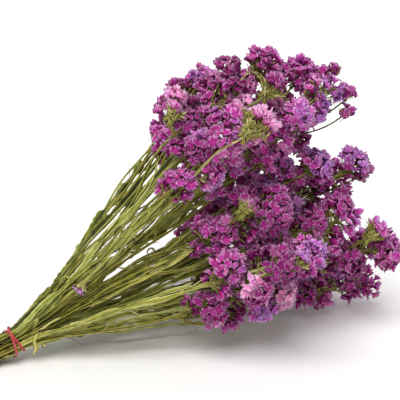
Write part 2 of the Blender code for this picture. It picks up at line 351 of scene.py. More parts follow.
def makePaperyCalyx():
    # Papery statice calyx, dried on the stem: matt, crisp and thin. Painted shade
    # makes it deep wine in the throat and low between the florets, and deeper in
    # the pleats' valleys; painted highlight pales the pleats' ridges and fades the
    # crumpled rim to lilac pink.
    # "reach" runs from the stalk to the rim, "inner" is the inside, "fold" the
    # ridges of the pleats, "tint" makes single florets pinker, "blush" whole
    # clusters, and "shade" lightens a floret and lets it turn violet: it is random
    # for the cluster and the floret, plus painted shade on florets low on a dome.
    material, tree, shader = newMaterial("paperyCalyx")
    reach, inner, fold, tint, blush, shade = (
        addNode(tree, "ShaderNodeAttribute", attribute_name=name).outputs["Fac"]
        for name in ("reach", "inner", "fold", "tint", "blush", "shade"))
    place = addNode(tree, "ShaderNodeTexCoord")
    crinkle = addNode(tree, "ShaderNodeTexNoise", {"Vector": place.outputs["Object"],
                                                   "Scale": 1 / (1.8 * millimetre), "Detail": 3.0})
    drift = addNode(tree, "ShaderNodeTexNoise", {"Vector": place.outputs["Object"],
                                                 "Scale": 1 / (30 * millimetre), "Detail": 2.0})
    # the ramps below run up the floret: painted shade low between the florets, painted highlight at the rim
    # and on the pleats' ridges
    along = addNode(tree, "ShaderNodeMath", {0: crinkle.outputs["Fac"], 1: 0.50, 2: reach},
                    operation="MULTIPLY_ADD")
    along = addNode(tree, "ShaderNodeMath", {0: fold, 1: 0.16, 2: along.outputs["Value"]},
                    operation="MULTIPLY_ADD")
    along = addNode(tree, "ShaderNodeMath", {0: along.outputs["Value"], 1: 0.33}, operation="SUBTRACT")
    along = along.outputs["Value"]
    purple = fillRamp(addNode(tree, "ShaderNodeValToRGB", {"Fac": along}),
                      [(0.04, "#8c8648"), (0.20, "#600a44"), (0.50, "#9c1272"),
                       (0.82, "#bb2f92"), (0.94, "#cf62b2"), (1.0, "#e4a0d2")])
    pink = fillRamp(addNode(tree, "ShaderNodeValToRGB", {"Fac": along}),
                    [(0.04, "#a3945c"), (0.20, "#b04482"), (0.50, "#d663a4"),
                     (0.80, "#ea8ec4"), (1.0, "#f8c6e2")])
    violet = fillRamp(addNode(tree, "ShaderNodeValToRGB", {"Fac": along}),
                      [(0.04, "#7f7c4c"), (0.20, "#4c2464"), (0.50, "#7a429e"),
                       (0.80, "#9468b8"), (1.0, "#bfa0d8")])
    pinkPart = addNode(tree, "ShaderNodeMapRange", {"Value": tint, "From Min": 0.80,
                                                    "From Max": 1.0, "To Max": 0.55})
    pinkPart = addNode(tree, "ShaderNodeMath", {0: pinkPart.outputs["Result"], 1: blush},
                       operation="MAXIMUM")
    violetPart = addNode(tree, "ShaderNodeMath", {0: drift.outputs["Fac"], 1: 1.0, 2: shade},
                         operation="MULTIPLY_ADD")
    violetPart = addNode(tree, "ShaderNodeMapRange", {"Value": violetPart.outputs["Value"],
                                                      "From Min": 1.12, "From Max": 1.45,
                                                      "To Max": 0.70})
    colour = addNode(tree, "ShaderNodeMix", {0: violetPart.outputs["Result"],
                                             6: purple.outputs["Color"],
                                             7: violet.outputs["Color"]}, data_type="RGBA")
    colour = addNode(tree, "ShaderNodeMix", {0: pinkPart.outputs["Value"], 6: colour.outputs[2],
                                             7: pink.outputs["Color"]}, data_type="RGBA")
    # painted shade deep in the throat, on the inside of the funnel
    throat = addNode(tree, "ShaderNodeMapRange", {"Value": reach, "From Min": 0.3,
                                                  "From Max": 0.72, "To Min": 1.0, "To Max": 0.0})
    paintedThroatShade = addNode(tree, "ShaderNodeMath", {0: throat.outputs["Result"], 1: inner},
                   operation="MULTIPLY")
    colour = addNode(tree, "ShaderNodeMix", {0: paintedThroatShade.outputs["Value"], 6: colour.outputs[2],
                                             7: linearHex("#7a1a60")}, data_type="RGBA")
    # painted shade in the pleats' valleys and painted highlight on their ridges; the floret's lightness is
    # random per cluster and floret, with painted shade low on its dome
    paintedFoldLight = addNode(tree, "ShaderNodeMapRange", {"Value": fold, "To Min": 0.86, "To Max": 1.06})
    toneAndPaintedLight = addNode(tree, "ShaderNodeMapRange", {"Value": shade, "To Min": 0.44, "To Max": 1.30})
    toneAndPaintedLight = addNode(tree, "ShaderNodeMath", {0: toneAndPaintedLight.outputs["Result"],
                                                 1: paintedFoldLight.outputs["Result"]}, operation="MULTIPLY")
    colour = addNode(tree, "ShaderNodeVectorMath", {0: colour.outputs[2],
                                                    "Scale": toneAndPaintedLight.outputs["Value"]},
                     operation="SCALE")
    tree.links.new(colour.outputs["Vector"], shader.inputs["Base Color"])
    bump = addNode(tree, "ShaderNodeBump", {"Height": crinkle.outputs["Fac"], "Strength": 0.6,
                                            "Distance": 0.6 * millimetre})
    tree.links.new(bump.outputs["Normal"], shader.inputs["Normal"])
    shader.inputs["Roughness"].default_value = 0.8
    shader.inputs["Specular IOR Level"].default_value = 0.2
    return material


def makeRedRubber():
    # Natural rubber band, extruded and cut: satin red, a little chalky where stretched.
    material, tree, shader = newMaterial("stretchedRubber")
    place = addNode(tree, "ShaderNodeTexCoord")
    bloom = addNode(tree, "ShaderNodeTexNoise", {"Vector": place.outputs["Object"],
                                                 "Scale": 1 / (2.5 * millimetre), "Detail": 4.0})
    red = fillRamp(addNode(tree, "ShaderNodeValToRGB", {"Fac": bloom.outputs["Fac"]}),
                   [(0.3, "#a02c34"), (0.6, "#bf4449"), (0.85, "#cf6c68")])
    tree.links.new(red.outputs["Color"], shader.inputs["Base Color"])
    bump = addNode(tree, "ShaderNodeBump", {"Height": bloom.outputs["Fac"], "Strength": 0.2,
                                            "Distance": 0.1 * millimetre})
    tree.links.new(bump.outputs["Normal"], shader.inputs["Normal"])
    shader.inputs["Roughness"].default_value = 0.42
    return material


airDriedStem = makeDriedStem()
paperyCalyx = makePaperyCalyx()
stretchedRubber = makeRedRubber()
print("materials ready")


# piles: closed shells gathered for one piece, with what its material reads

def newPile():
    return {part: [] for part in ("points", "faces", "skin", *markNames)}


def addShell(pile, rings, skins, tone=0.5, leaf=0.0, cutStart=False, warm=0.3):
    # rings of points, all the same count, closed at both ends by a middle point
    start, size = len(pile["points"]), len(rings[0])
    for ring, flat in zip(rings, skins):
        pile["points"] += ring
        pile["skin"] += flat
    for i in range(len(rings) - 1):
        a, b = start + i * size, start + (i + 1) * size
        for j in range(size):
            k = (j + 1) % size
            pile["faces"].append((a + j, a + k, b + k, b + j))
    pile["cut"] += [0.0] * (len(rings) * size)
    for end in (0, len(rings) - 1):
        middle = sum(rings[end], Vector()) / size
        tip = len(pile["points"])
        pile["points"].append(middle)
        pile["skin"].append(sum(skins[end], Vector()) / size)
        pile["cut"].append(1.0 if cutStart and end == 0 else 0.0)
        first = start + end * size
        for j in range(size):
            k = (j + 1) % size
            pile["faces"].append((first + k, first + j, tip) if end == 0 else (first + j, first + k, tip))
    added = len(pile["points"]) - start
    pile["tone"] += [tone] * added
    pile["leaf"] += [leaf] * added
    pile["warm"] += [warm] * added


def pileToObject(name, pile, material):
    mesh = newMesh(name, pile["points"], pile["faces"])
    writeMark(mesh, "skin", "FLOAT_VECTOR", flatten(pile["skin"]))
    for mark in markNames:
        writeMark(mesh, mark, "FLOAT", pile[mark])
    mesh.materials.append(material)
    return addObject(name, mesh)


# lines that stems and branchlets follow

def curveThrough(points, spacing):
    # an even, smooth line through the points, and the step between its places
    ends = [points[0] * 2 - points[1]] + points + [points[-1] * 2 - points[-2]]
    fine, perSpan = [], 12
    for i in range(1, len(ends) - 2):
        a, b, c, d = ends[i - 1:i + 3]
        for k in range(perSpan):
            t = k / perSpan
            fine.append((b * 2 + (c - a) * t + (a * 2 - b * 5 + c * 4 - d) * t * t
                         + (b * 3 - a - c * 3 + d) * t ** 3) / 2)
    fine.append(points[-1])
    total = sum((q - p).length for p, q in zip(fine, fine[1:]))
    count = max(2, round(total / spacing))
    step, line, walked, wanted = total / count, [fine[0]], 0.0, total / count
    for p, q in zip(fine, fine[1:]):
        gap = (q - p).length
        while len(line) < count and walked + gap >= wanted - 1e-9:
            line.append(p.lerp(q, (wanted - walked) / gap))
            wanted += step
        walked += gap
    line.append(points[-1])
    return line, step


def framesAlong(line):
    # the way ahead and a steady pair of cross directions at each place of a line
    frames = []
    side = None
    for i in range(len(line)):
        ahead = (line[min(i + 1, len(line) - 1)] - line[max(i - 1, 0)]).normalized()
        if side is None:
            side = ahead.cross(Vector((0, 0, 1)))
            if side.length < 0.1:
                side = ahead.cross(Vector((0, 1, 0)))     # the line starts upright
        side = (side - ahead * side.dot(ahead)).normalized()
        frames.append((ahead, side, ahead.cross(side)))
    return frames


class Wave:
    # a slow repeatable wobble made of three sines
    def __init__(self, rng, length):
        self.parts = [(rng.uniform(0.6, 1.5) / length, rng.uniform(0, fullTurn)) for _ in range(3)]

    def at(self, x):
        return sum(math.sin(fullTurn * f * x + p) for f, p in self.parts) / len(self.parts)


def swayLine(line, step, rng, wave, loose):
    # the line strays by loose(i) at its place i, and stays off the floor
    sway, heave = Wave(rng, wave), Wave(rng, wave)
    for i, (_, side, up) in enumerate(framesAlong(line)):
        line[i] = line[i] + (side * sway.at(i * step) + up * heave.at(i * step)) * loose(i)
        line[i].z = max(line[i].z, wingFloor)


# winged stems

stemSet = {
    "ringCorners": 6,            # corners of each ring of the tied solids
    "station": 3.8 * millimetre,
    "core": 1.15 * millimetre,
    "wings": 3,
    "wingWide": (3.3 * millimetre, 5.7 * millimetre),
    "wingNarrow": 1.7 * millimetre,
    "wingThick": 0.5 * millimetre,
    "widening": 0.022, "narrowing": 0.009,     # after one joint and before the next
    "wave": 0.050, "waveDepth": 0.26, "waveLean": 0.45,
    "ruffle": 0.010, "ruffleDepth": 0.15, "ruffleLean": 0.14,
    "twist": 1.1 / 0.3,           # radians in a metre
    "hubShare": 0.8, "creaseShare": 0.82, "wingFoot": 0.42,
    # painted shade and highlight of a wing's points: crease, foot, both sides of its edge, foot
    "paintedShadeAndEdgeLight": (-0.34, -0.62, 0.28, 0.28, -0.62),
    "cutFade": 0.012, "cutTone": -0.50, "cutWarm": 0.7,
    "tone": (0.1, 0.9), "warm": (0.0, 0.75),
    "tiedWing": 2.6 * millimetre,
    "tiedReach": (0.005, 0.030),  # from the band: pressed flat, and free again
    "tiedLeaf": 0.6, "tiedLean": 0.35, "nearBand": 0.035,
    "wander": 4.2 * millimetre,   # how far a stem strays from its straight run
    "swayLength": 0.17, "branchSway": 0.14,
    "straightNear": 0.02, "strayWithin": 0.08, "straightEnd": 0.03, "straightStart": 0.05,
    "firstJoint": (0.02, 0.05),
    "internode": (0.040, 0.080),
    "leaves": (1, 2, 2, 3),       # at a joint
    "leafLength": (0.010, 0.034),
    "leafWidth": (1.8 * millimetre, 3.6 * millimetre),
    "leafLean": 0.6,
    "curlShare": 0.45,            # of a stem's joints, those with a curled dry leaf
    "curlRadius": (2.6 * millimetre, 5.5 * millimetre),
    "curlWidth": (1.6 * millimetre, 3.0 * millimetre),
    "curlSweep": (3.4, 6.0), "curlRise": 0.35, "curlTighten": 0.45,
    "threadShare": 0.30,
    "threadLength": (0.014, 0.034),
    "threadRadius": 0.48 * millimetre, "threadTone": -0.5,
    # shares of its length along the stem, away from it, and aside
    "threadPath": ((0, 0, 0), (0.5, 0.35, 0), (0.8, 0.55, 1), (0.9, 0.3, 1.6)),
}
leafSet = {
    "parts": (0.0, 0.18, 0.42, 0.68, 0.88, 1.0),
    "fold": 0.35, "thick": 0.16 * millimetre, "skinThick": 0.2 * millimetre,
    "curl": (-0.5, 1.1), "bend": 0.4,
    "tip": 0.06, "narrowest": 0.12 * millimetre,
    "spacing": 2.5 * millimetre,
    "ribbonFold": 0.25, "ribbonThick": 0.2 * millimetre, "ribbonSkin": 0.3 * millimetre,
    "ribbonTip": 0.4 * millimetre, "ribbonTwist": 0.9, "ribbonWave": 0.03,
    "leaf": 0.3,                  # how far the leaves' colour is a bract's
}
bandMiddle = boxMiddle("rubber_band")
wingFloor = 3.0 * millimetre     # lowest that a stem's middle may wander


def nodePoints(name):
    node = frame["nodes"][name]
    found = {}
    for v in node.data.vertices:
        p = node.matrix_world @ v.co
        found[tuple(round(c, 5) for c in p)] = p
    return list(found.values())


def stemLine(name):
    # the middle of each ring of a stem's solid, from the cut end on
    corners = sorted(nodePoints(name), key=lambda p: p.x)
    size = stemSet["ringCorners"]
    rings = [corners[i:i + size] for i in range(0, len(corners) - size + 1, size)]
    return [sum(ring, Vector()) / size for ring in rings]


def wingedShell(pile, line, step, rng, width, core, tone, taper=0.0, squeeze=None, cutStart=False,
                warm=0.3):
    # a stem with thin wings; width(s) gives the wings' reach at s along it
    look, wings = stemSet, stemSet["wings"]
    start = rng.uniform(0, fullTurn)
    waves = [Wave(rng, look["wave"]) for _ in range(wings * 2)]
    ruffles = [Wave(rng, look["ruffle"]) for _ in range(wings)]
    shift = rng.uniform(0, 2)
    length = step * (len(line) - 1)
    rings, skins = [], []
    for i, (point, (_, side, up)) in enumerate(zip(line, framesAlong(line))):
        s = i * step
        shrink = 1 - taper * s / length
        ring, flat = [], []
        for w in range(wings):
            wide = width(s) * (1 + look["waveDepth"] * waves[w].at(s)
                               + look["ruffleDepth"] * ruffles[w].at(s)) * shrink
            if squeeze:
                wide = min(wide, squeeze(point))
            hub = min(core * shrink, wide * look["hubShare"])
            lean = (look["waveLean"] * waves[w + wings].at(s)
                    + look["ruffleLean"] * ruffles[w].at(s * 1.3))
            half = look["wingThick"] / wide / 2
            middle = start + look["twist"] * s + math.tau * w / wings
            for angle, radius in ((-math.pi / wings, hub * look["creaseShare"]), (-look["wingFoot"], hub),
                                  (lean - half, wide), (lean + half, wide), (look["wingFoot"], hub)):
                spot = around(Vector((radius, 0, 0)), Vector((0, radius, 0)), middle + angle)
                ring.append(point + side * spot.x + up * spot.y)
                flat.append(Vector((spot.x, spot.y, s + shift)))
        rings.append(ring)
        skins.append(flat)
    first, perRing = len(pile["tone"]), len(rings[0])
    addShell(pile, rings, skins, tone, cutStart=cutStart, warm=warm)
    for i in range(len(rings) * perRing):
        # painted shade darkens the creases beside the core, and painted highlight
        # pales the wings' edges; behind the band the stems are rubbed and brown
        behind = smoothStep((bandMiddle.x - line[i // perRing].x) / look["cutFade"])
        paintedLight = look["paintedShadeAndEdgeLight"][i % len(look["paintedShadeAndEdgeLight"])]
        pile["tone"][first + i] += paintedLight + look["cutTone"] * behind
        pile["warm"][first + i] += look["cutWarm"] * behind


def addStrip(pile, stations, fold, thick, skinThick, tone, warm):
    # a thin folded strip; a station is (keel, across, out, half width, how far along)
    rings, skins = [], []
    for keel, across, out, wide, along in stations:
        rings.append([keel - across * wide + out * wide * fold, keel - out * thick,
                      keel + across * wide + out * wide * fold, keel + out * thick])
        skins.append([Vector((-wide, 0, along)), Vector((0, -skinThick, along)),
                      Vector((wide, 0, along)), Vector((0, skinThick, along))])
    addShell(pile, rings, skins, tone, leaf=leafSet["leaf"], warm=warm)


def addLeaf(pile, root, ahead, out, length, width, rng, tone, warm=0.4):
    # a narrow dry leaf: pointed, slightly folded, curling away from the stem
    across = ahead.cross(out).normalized()
    curl = rng.uniform(*leafSet["curl"])
    shift = rng.uniform(0, 2)
    stations = []
    for part in leafSet["parts"]:
        share = math.sin(math.pi * (0.12 + 0.88 * part)) ** 0.8 if part < 1 else leafSet["tip"]
        wide = max(width * share / 2, leafSet["narrowest"])
        keel = root + ahead * length * part + out * length * curl * part * part * leafSet["bend"]
        stations.append((keel, across, out, wide, shift + part * length))
    addStrip(pile, stations, leafSet["fold"], leafSet["thick"], leafSet["skinThick"], tone, warm)


def addThread(pile, points, radius, tone, spacing=3 * millimetre):
    # a thin three sided strand through points, that thins to a quarter
    line, step = curveThrough(points, spacing)
    rings, skins = [], []
    for i, (point, (_, side, up)) in enumerate(zip(line, framesAlong(line))):
        r = radius * (1 - 0.75 * i / (len(line) - 1))
        rings.append([point + around(side, up, a) * r for a in threeSides])
        skins.append([Vector((0, r, i * step))] * 3)
    addShell(pile, rings, skins, tone)


def addRibbon(pile, points, width, tone, warm, rng):
    # a dry leaf end that faces the lens, turning a little, drawn to a point at both ends
    line, step = curveThrough(points, leafSet["spacing"])
    twist = Wave(rng, leafSet["ribbonWave"])
    fold = leafSet["ribbonFold"]
    stations = []
    for i, (ahead, _, _) in enumerate(framesAlong(line)):
        part = i / (len(line) - 1)
        wide = max(width * math.sin(math.pi * (0.06 + 0.88 * part)) ** 0.6, leafSet["ribbonTip"]) / 2
        across = ahead.cross(photoView["back"]).normalized()
        turn = leafSet["ribbonTwist"] * twist.at(i * step)
        across = around(across, across.cross(ahead), turn).normalized()
        out = ahead.cross(across)
        stations.append((line[i] - out * fold * wide, across, out, wide, i * step))
    addStrip(pile, stations, fold, leafSet["ribbonThick"], leafSet["ribbonSkin"], tone, warm)


def addCurl(pile, root, ahead, out, rng, tone, warm):
    # a dry leaf that has rolled up on itself beside the stem
    radius = rng.uniform(*stemSet["curlRadius"])
    sweep = rng.uniform(*stemSet["curlSweep"])
    rise = rng.uniform(-stemSet["curlRise"], stemSet["curlRise"]) * radius
    aside = ahead.cross(out)
    points = [root]
    for k in range(7):
        a = sweep * k / 6
        tight = radius * (1 - stemSet["curlTighten"] * k / 6)
        points.append(root + ahead * (radius * 2.2 + tight * math.sin(a) * 1.2)
                      + out * (radius * 0.5 + tight * (1 - math.cos(a))) + aside * rise * k)
    for point in points:
        point.z = max(point.z, wingFloor)
    addRibbon(pile, points, rng.uniform(*stemSet["curlWidth"]), tone, warm, rng)


def dressJoint(pile, root, axes, rng, tone, warm):
    # the dry leaves at a joint, and on some a curled one or a thread
    ahead, side, up = axes
    tied = (root - bandMiddle).length < stemSet["nearBand"]
    core = stemSet["core"]
    for _ in range(rng.choice(stemSet["leaves"])):
        out = around(side, up, rng.uniform(0, fullTurn))
        lean = rng.uniform(0.02, stemSet["tiedLean"] if tied else stemSet["leafLean"])
        aim = (ahead + out * lean).normalized()
        size = rng.uniform(*stemSet["leafLength"]) * (stemSet["tiedLeaf"] if tied else 1)
        addLeaf(pile, root + out * core * 0.7, aim, (out - aim * out.dot(aim)).normalized(), size,
                rng.uniform(*stemSet["leafWidth"]), rng, tone + rng.uniform(-0.2, 0.4), warm)
    if rng.random() < stemSet["curlShare"] and not tied:
        out = around(side, up, rng.uniform(0, fullTurn))
        addCurl(pile, root + out * core, ahead, out, rng, tone + rng.uniform(-0.3, 0.4), warm + 0.2)
    if rng.random() < stemSet["threadShare"] and not tied:
        out = around(side, up, rng.uniform(0, fullTurn))
        size = rng.uniform(*stemSet["threadLength"])
        swing = ahead.cross(out) * rng.uniform(-0.5, 0.5)
        points = [root + (ahead * along + out * off + swing * aside) * size
                  for along, off, aside in stemSet["threadPath"]]
        addThread(pile, points, stemSet["threadRadius"], stemSet["threadTone"])


def makeStem(pile, name, rng):
    line, step = curveThrough(stemLine(name), stemSet["station"])
    length = step * (len(line) - 1)

    def stray(i):
        # straight in the band, at the cut end and under the head
        away = (line[i] - bandMiddle).length - stemSet["straightNear"]
        loose = smoothStep(away / stemSet["strayWithin"])
        loose *= smoothStep((length - i * step) / stemSet["straightEnd"])
        return loose * stemSet["wander"] * (i * step > stemSet["straightStart"])

    swayLine(line, step, rng, stemSet["swayLength"], stray)
    joints, s = [], rng.uniform(*stemSet["firstJoint"])
    while s < length + 0.08:
        joints.append(s)
        s += rng.uniform(*stemSet["internode"])
    narrow, wide = stemSet["wingNarrow"], rng.uniform(*stemSet["wingWide"])
    near, free = stemSet["tiedReach"]

    def width(s):
        # wings widen after each joint of the stem and stop short just past the next
        ahead = min((n for n in joints if n > s - 0.002), default=length)
        behind = max((n for n in joints if n <= s - 0.002), default=-0.03)
        grown = smoothStep((s - behind) / stemSet["widening"])
        grown *= smoothStep((ahead - s) / stemSet["narrowing"])
        return narrow + (wide - narrow) * grown

    def squeeze(point):
        limit = stemSet["tiedWing"]
        away = (point - bandMiddle).length
        return limit + (wide * 1.3 - limit) * smoothStep((away - near) / (free - near))

    tone, warm = rng.uniform(*stemSet["tone"]), rng.uniform(*stemSet["warm"])
    wingedShell(pile, line, step, rng, width, stemSet["core"], tone, squeeze=squeeze, cutStart=True,
                warm=warm)
    frames = framesAlong(line)
    for n in joints:
        if n <= length - 0.01:
            dressJoint(pile, line[round(n / step)], frames[round(n / step)], rng, tone, warm)
    return line, frames[-1][0], tone, step


# flower clusters: where they sit in each head, and which way they face

headSet = {
    # clusters grown in each head's solid
    "clusters": 7,
    "radius": (16.0 * millimetre, 21.5 * millimetre),
    "smallest": 11.0 * millimetre,
    "lowest": 0.24, "highest": 0.84,      # share of the head's length
    "spiral": 2.4,                        # radians from one to the next
    "sink": 0.90,                         # radii from the solid's skin to its middle
    "upward": (0.45, 0.95),
    # florets of a cluster
    "floretLength": 12.0 * millimetre,
    "floretSpread": 98.0,                 # degrees from the cluster's middle
    "floretCount": 28, "countRadius": 18.0 * millimetre,
    "floretTurn": 0.60,                   # how far the florets lean outwards
    "floretSize": (0.84, 1.14), "jitter": 0.20,
    "swell": (0.86, 1.06), "swells": 5,   # uneven lobes of the dome
    "goldenTurn": 2.39996,
    # the height share is painted light: florets high on the dome lighter, those at its edge darker
    "shadeShares": (0.62, 0.22, 0.16),    # of the cluster, the floret, and its height
    "tuftShare": 0.33,                    # of the florets, those with bracts that show
    # arms and branches
    "arms": 4, "armTufts": 2, "armReach": 0.62,
    "armRadius": 0.60 * millimetre,
    "tuftSize": (0.8, 1.15),
    "longStart": ((0.22, 0.46), (0.38, 0.66), (0.52, 0.82)),   # share of the stem
    "nearStart": (0.040, 0.060),          # metres below a cluster on the main branch
    "branchStep": 6.0 * millimetre, "longStep": 6.5 * millimetre,
    "branchCore": 0.62 * millimetre, "trunkCore": 0.868 * millimetre, "longCore": 0.713 * millimetre,
    "branchWing": 1.5 * millimetre, "longWing": 1.8 * millimetre,
    "branchEnd": 0.75,                    # radii below a cluster's middle
    "trunkReach": 0.62,                   # share of the head's length
    "slimWing": 1.1 * millimetre, "slimBelow": 8.0 * millimetre,   # branches of small clusters
    "branchLeaves": 3, "leafLength": (0.008, 0.018), "leafWidth": (0.0018, 0.0030),
    "floorGap": 0.6 * millimetre, "pressDepth": 3.6 * millimetre,
    # clusters on side branches in front of the stems: pixel, radius in mm, and
    # whether they show their green undersides like combs
    "frontClusters": (((188, 122), 15, False), ((176, 99), 12, False), ((197, 152), 13, False),
                      ((176, 148), 11, False), ((214, 148), 12, False), ((236, 167), 12, False),
                      ((214, 190), 11, False), ((244, 197), 12, False), ((264, 160), 13, False),
                      ((268, 187), 12, False), ((212, 232), 12, False), ((216, 252), 11, False),
                      ((270, 104), 14, False), ((243, 104), 11, False), ((252, 286), 13, False),
                      ((286, 284), 13, False), ((228, 66), 12, False), ((214, 318), 12, False),
                      ((325, 73), 6, False), ((316, 83), 4, False), ((336, 69), 5, False),
                      ((352, 92), 7, False), ((347, 111), 7, False), ((368, 170), 7, False),
                      ((254, 126), 21, True), ((271, 88), 16, True), ((374, 232), 14, True),
                      ((308, 268), 13, True), ((174, 114), 9, True), ((246, 208), 9, True)),
    "frontReach": 12,
    "frontStray": 4.0 * millimetre,       # counts as this much further for each pixel past that
    "frontNear": 0.7,                     # radii in front of what carries it
    "frontBranch": (0.060, 0.100),        # metres below it where its branch leaves
    "frontTurn": (0.25, 0.60, 0.75),      # faces the picture's right, its top, and the lens
    # branches to the front clusters run darker: painted shade among the flowers, and the dry twigs' own
    # darker tan
    "frontShadeTone": (-0.45, 0.35),
    "combBranch": (0.020, 0.035),
    "combTurn": (0.66, 0.74, 0.05),
    "combSpread": 54.0,
    "combArms": 9, "combTufts": 7, "combReach": 0.85,
    "combTuft": 1.2,
    "pinkPixels": ((262, 114), (270, 100), (245, 98), (288, 278), (254, 280), (182, 96)),
    "pinkReach": 13, "pinkShade": 0.9,
    "sparsePixels": ((326, 80), (340, 98), (318, 70), (335, 88), (385, 275), (378, 290)),
    "sparseReach": 14,
    "sparseShare": 0.4,
}


def headShape(name):
    node = frame["nodes"][name]
    corners = [node.matrix_world @ v.co for v in node.data.vertices]
    faces = [tuple(p.vertices) for p in node.data.polygons]
    return corners, BVHTree.FromPolygons(corners, faces)


def newCluster(centre, facing, radius, rng, **more):
    return {"centre": centre, "facing": facing, "radius": radius, "height": 0.0, "shade": rng.random(),
            "blush": 0.0, "full": 1.0, "comb": False, "station": None, **more}


def placeClusters(name, root, rng):
    # a spiral of clusters up the inside of the head's solid, and one at its top
    corners, surface = headShape(name)
    middle = sum(corners, Vector()) / len(corners)
    axis = (middle - root).normalized()
    length = max((p - root).dot(axis) for p in corners)
    side = axis.orthogonal().normalized()
    up = axis.cross(side)
    clusters, turn = [], rng.uniform(0, fullTurn)
    last = headSet["clusters"] - 1
    for k in range(last + 1):
        share = headSet["lowest"] + (headSet["highest"] - headSet["lowest"]) * k / (last - 1)
        radius = rng.uniform(*headSet["radius"])
        out = around(side, up, turn + k * headSet["spiral"] + rng.uniform(-0.25, 0.25))
        if k == last:
            centre = root + axis * (length - radius * headSet["sink"])
            facing = (axis + out * 0.25).normalized()
        else:
            start = root + axis * length * share
            hit = surface.ray_cast(start, out, 0.1)
            room = hit[3] if hit[0] is not None else radius
            radius = min(radius, max(room * 0.95, headSet["smallest"]))
            centre = start + out * max(room - radius * headSet["sink"], 0.0)
            facing = (out * 0.75 + axis * rng.uniform(*headSet["upward"])).normalized()
        clusters.append(newCluster(centre, facing, radius, rng, height=(centre - root).dot(axis)))
    return clusters, axis, length


def foremostPath(sprigs, pixel):
    # how deep the foremost sprig near a pixel is there, which one, and its place on it
    best = None
    for sprig in sprigs:
        for i in range(len(sprig["line"]) // 3, len(sprig["path"])):
            x, y, depth = toPixel(sprig["path"][i])
            past = max(math.hypot(x - pixel[0], y - pixel[1]) - headSet["frontReach"], 0.0)
            if best is None or depth + past * headSet["frontStray"] < best[0]:
                best = (depth + past * headSet["frontStray"], depth, sprig, i)
    return best[1:]


def foremostCluster(sprigs, pixel, radius):
    # the same for the front of the cluster that a comb would be lost behind
    best = None
    for sprig in sprigs:
        for cluster in sprig["clusters"]:
            x, y, depth = toPixel(cluster["centre"])
            reach = (cluster["radius"] + radius * 0.5) * photoView["focal"] / depth
            front = depth - cluster["radius"]
            if math.hypot(x - pixel[0], y - pixel[1]) < reach and (best is None or front < best[0]):
                path, centre = sprig["path"], cluster["centre"]
                best = (front, sprig, min(range(len(path)), key=lambda k: (path[k] - centre).length))
    return best


def addFrontClusters(sprigs, rng):
    # each on the foremost sprig that passes near its pixel, and inside the tied box
    for pixel, radius, comb in headSet["frontClusters"]:
        radius *= millimetre
        depth, sprig, i = foremostPath(sprigs, pixel)
        depth -= radius * headSet["frontNear"]
        if comb:
            depth, sprig, i = foremostCluster(sprigs, pixel, radius) or (depth, sprig, i)
        centre = pointAt(pixel, depth)
        for axis in range(3):
            centre[axis] = min(max(centre[axis], cadLow[axis] + radius), cadHigh[axis] - radius)
        kind = "comb" if comb else "front"
        facing = pictureWay(*headSet[kind + "Turn"]) + Vector([rng.uniform(-0.15, 0.15) for _ in range(3)])
        facing = facing.normalized()
        station = round(i - rng.uniform(*headSet[kind + "Branch"]) / sprig["step"])
        station = min(max(station, 2), len(sprig["path"]) - 2)
        sprig["clusters"].append(newCluster(centre, facing, radius, rng, comb=comb, station=station))


def nearestCluster(clusters, pixel, reach):
    # of the clusters that show at this pixel, the one nearest to the lens
    best = None
    for cluster in clusters:
        x, y, depth = toPixel(cluster["centre"] + cluster["facing"] * cluster["radius"] * 0.7)
        if math.hypot(x - pixel[0], y - pixel[1]) < reach and (best is None or depth < best[0]):
            best = (depth, cluster)
    return best[1] if best else None


def matchClusters(clusters):
    # pink clusters and sparse, half shed ones, where the photograph has them
    for pixel in headSet["pinkPixels"]:
        cluster = nearestCluster(clusters, pixel, headSet["pinkReach"])
        if cluster:
            cluster["blush"], cluster["shade"] = 1.0, headSet["pinkShade"]
    grown = [cluster for cluster in clusters if cluster["station"] is None]
    for pixel in headSet["sparsePixels"]:
        cluster = nearestCluster(grown, pixel, headSet["sparseReach"])
        if cluster:
            cluster["full"] = headSet["sparseShare"]


def bendBetween(start, leave, end, arrive):
    # a smooth line that leaves and arrives along two given directions
    reach = (end - start).length * 0.38
    a, b = start + leave * reach, end - arrive * reach
    line = []
    for k in range(7):
        t, u = k / 6, 1 - k / 6
        line.append(start * u ** 3 + a * 3 * u * u * t + b * 3 * u * t * t + end * t ** 3)
    return line


def evenWings(reach):
    return lambda s: reach


def longBranch(sprig, cluster, at, base):
    # from far down the stem: it swings out and strays on its way to the cluster
    path, rng, axis = sprig["path"], sprig["rng"], sprig["axis"]
    start, leave = path[at], (path[at + 1] - path[at]).normalized()
    out = (base - start) - leave * (base - start).dot(leave)
    leave = (leave + out.normalized() * 0.10).normalized()
    front = cluster["station"] is not None
    along = (base - start).normalized() if front else axis
    arrive = (along * 0.8 + cluster["facing"] * 0.4).normalized()
    line, pace = curveThrough(bendBetween(start, leave, base, arrive), headSet["longStep"])
    last = len(line) - 1
    swayLine(line, pace, rng, stemSet["branchSway"],
             lambda i: 4 * (i / last) * (1 - i / last) * stemSet["wander"])
    # branches to front clusters take the darker tones: painted shade among the flowers, and the twigs' own
    # darker tan
    tones = headSet["frontShadeTone"] if front and not cluster["comb"] else (0.0, 1.0)
    reach = headSet["slimWing" if cluster["radius"] < headSet["slimBelow"] else "longWing"]
    wingedShell(sprig["pile"], line, pace, rng, evenWings(reach), headSet["longCore"],
                rng.uniform(*tones), taper=0.25, warm=rng.uniform(0.0, 1.0))
    return line


def nearBranch(sprig, cluster, root, base):
    # from the main branch, inside the head
    axis, length, rng = sprig["axis"], sprig["length"], sprig["rng"]
    leave = min(max(cluster["height"] - rng.uniform(*headSet["nearStart"]), 0.004), length * 0.55)
    line, pace = curveThrough(bendBetween(root + axis * leave, axis, base, cluster["facing"]),
                              headSet["branchStep"])
    wingedShell(sprig["pile"], line, pace, rng, evenWings(headSet["branchWing"]), headSet["branchCore"],
                sprig["tone"] + rng.uniform(-0.1, 0.3), taper=0.35)
    return line


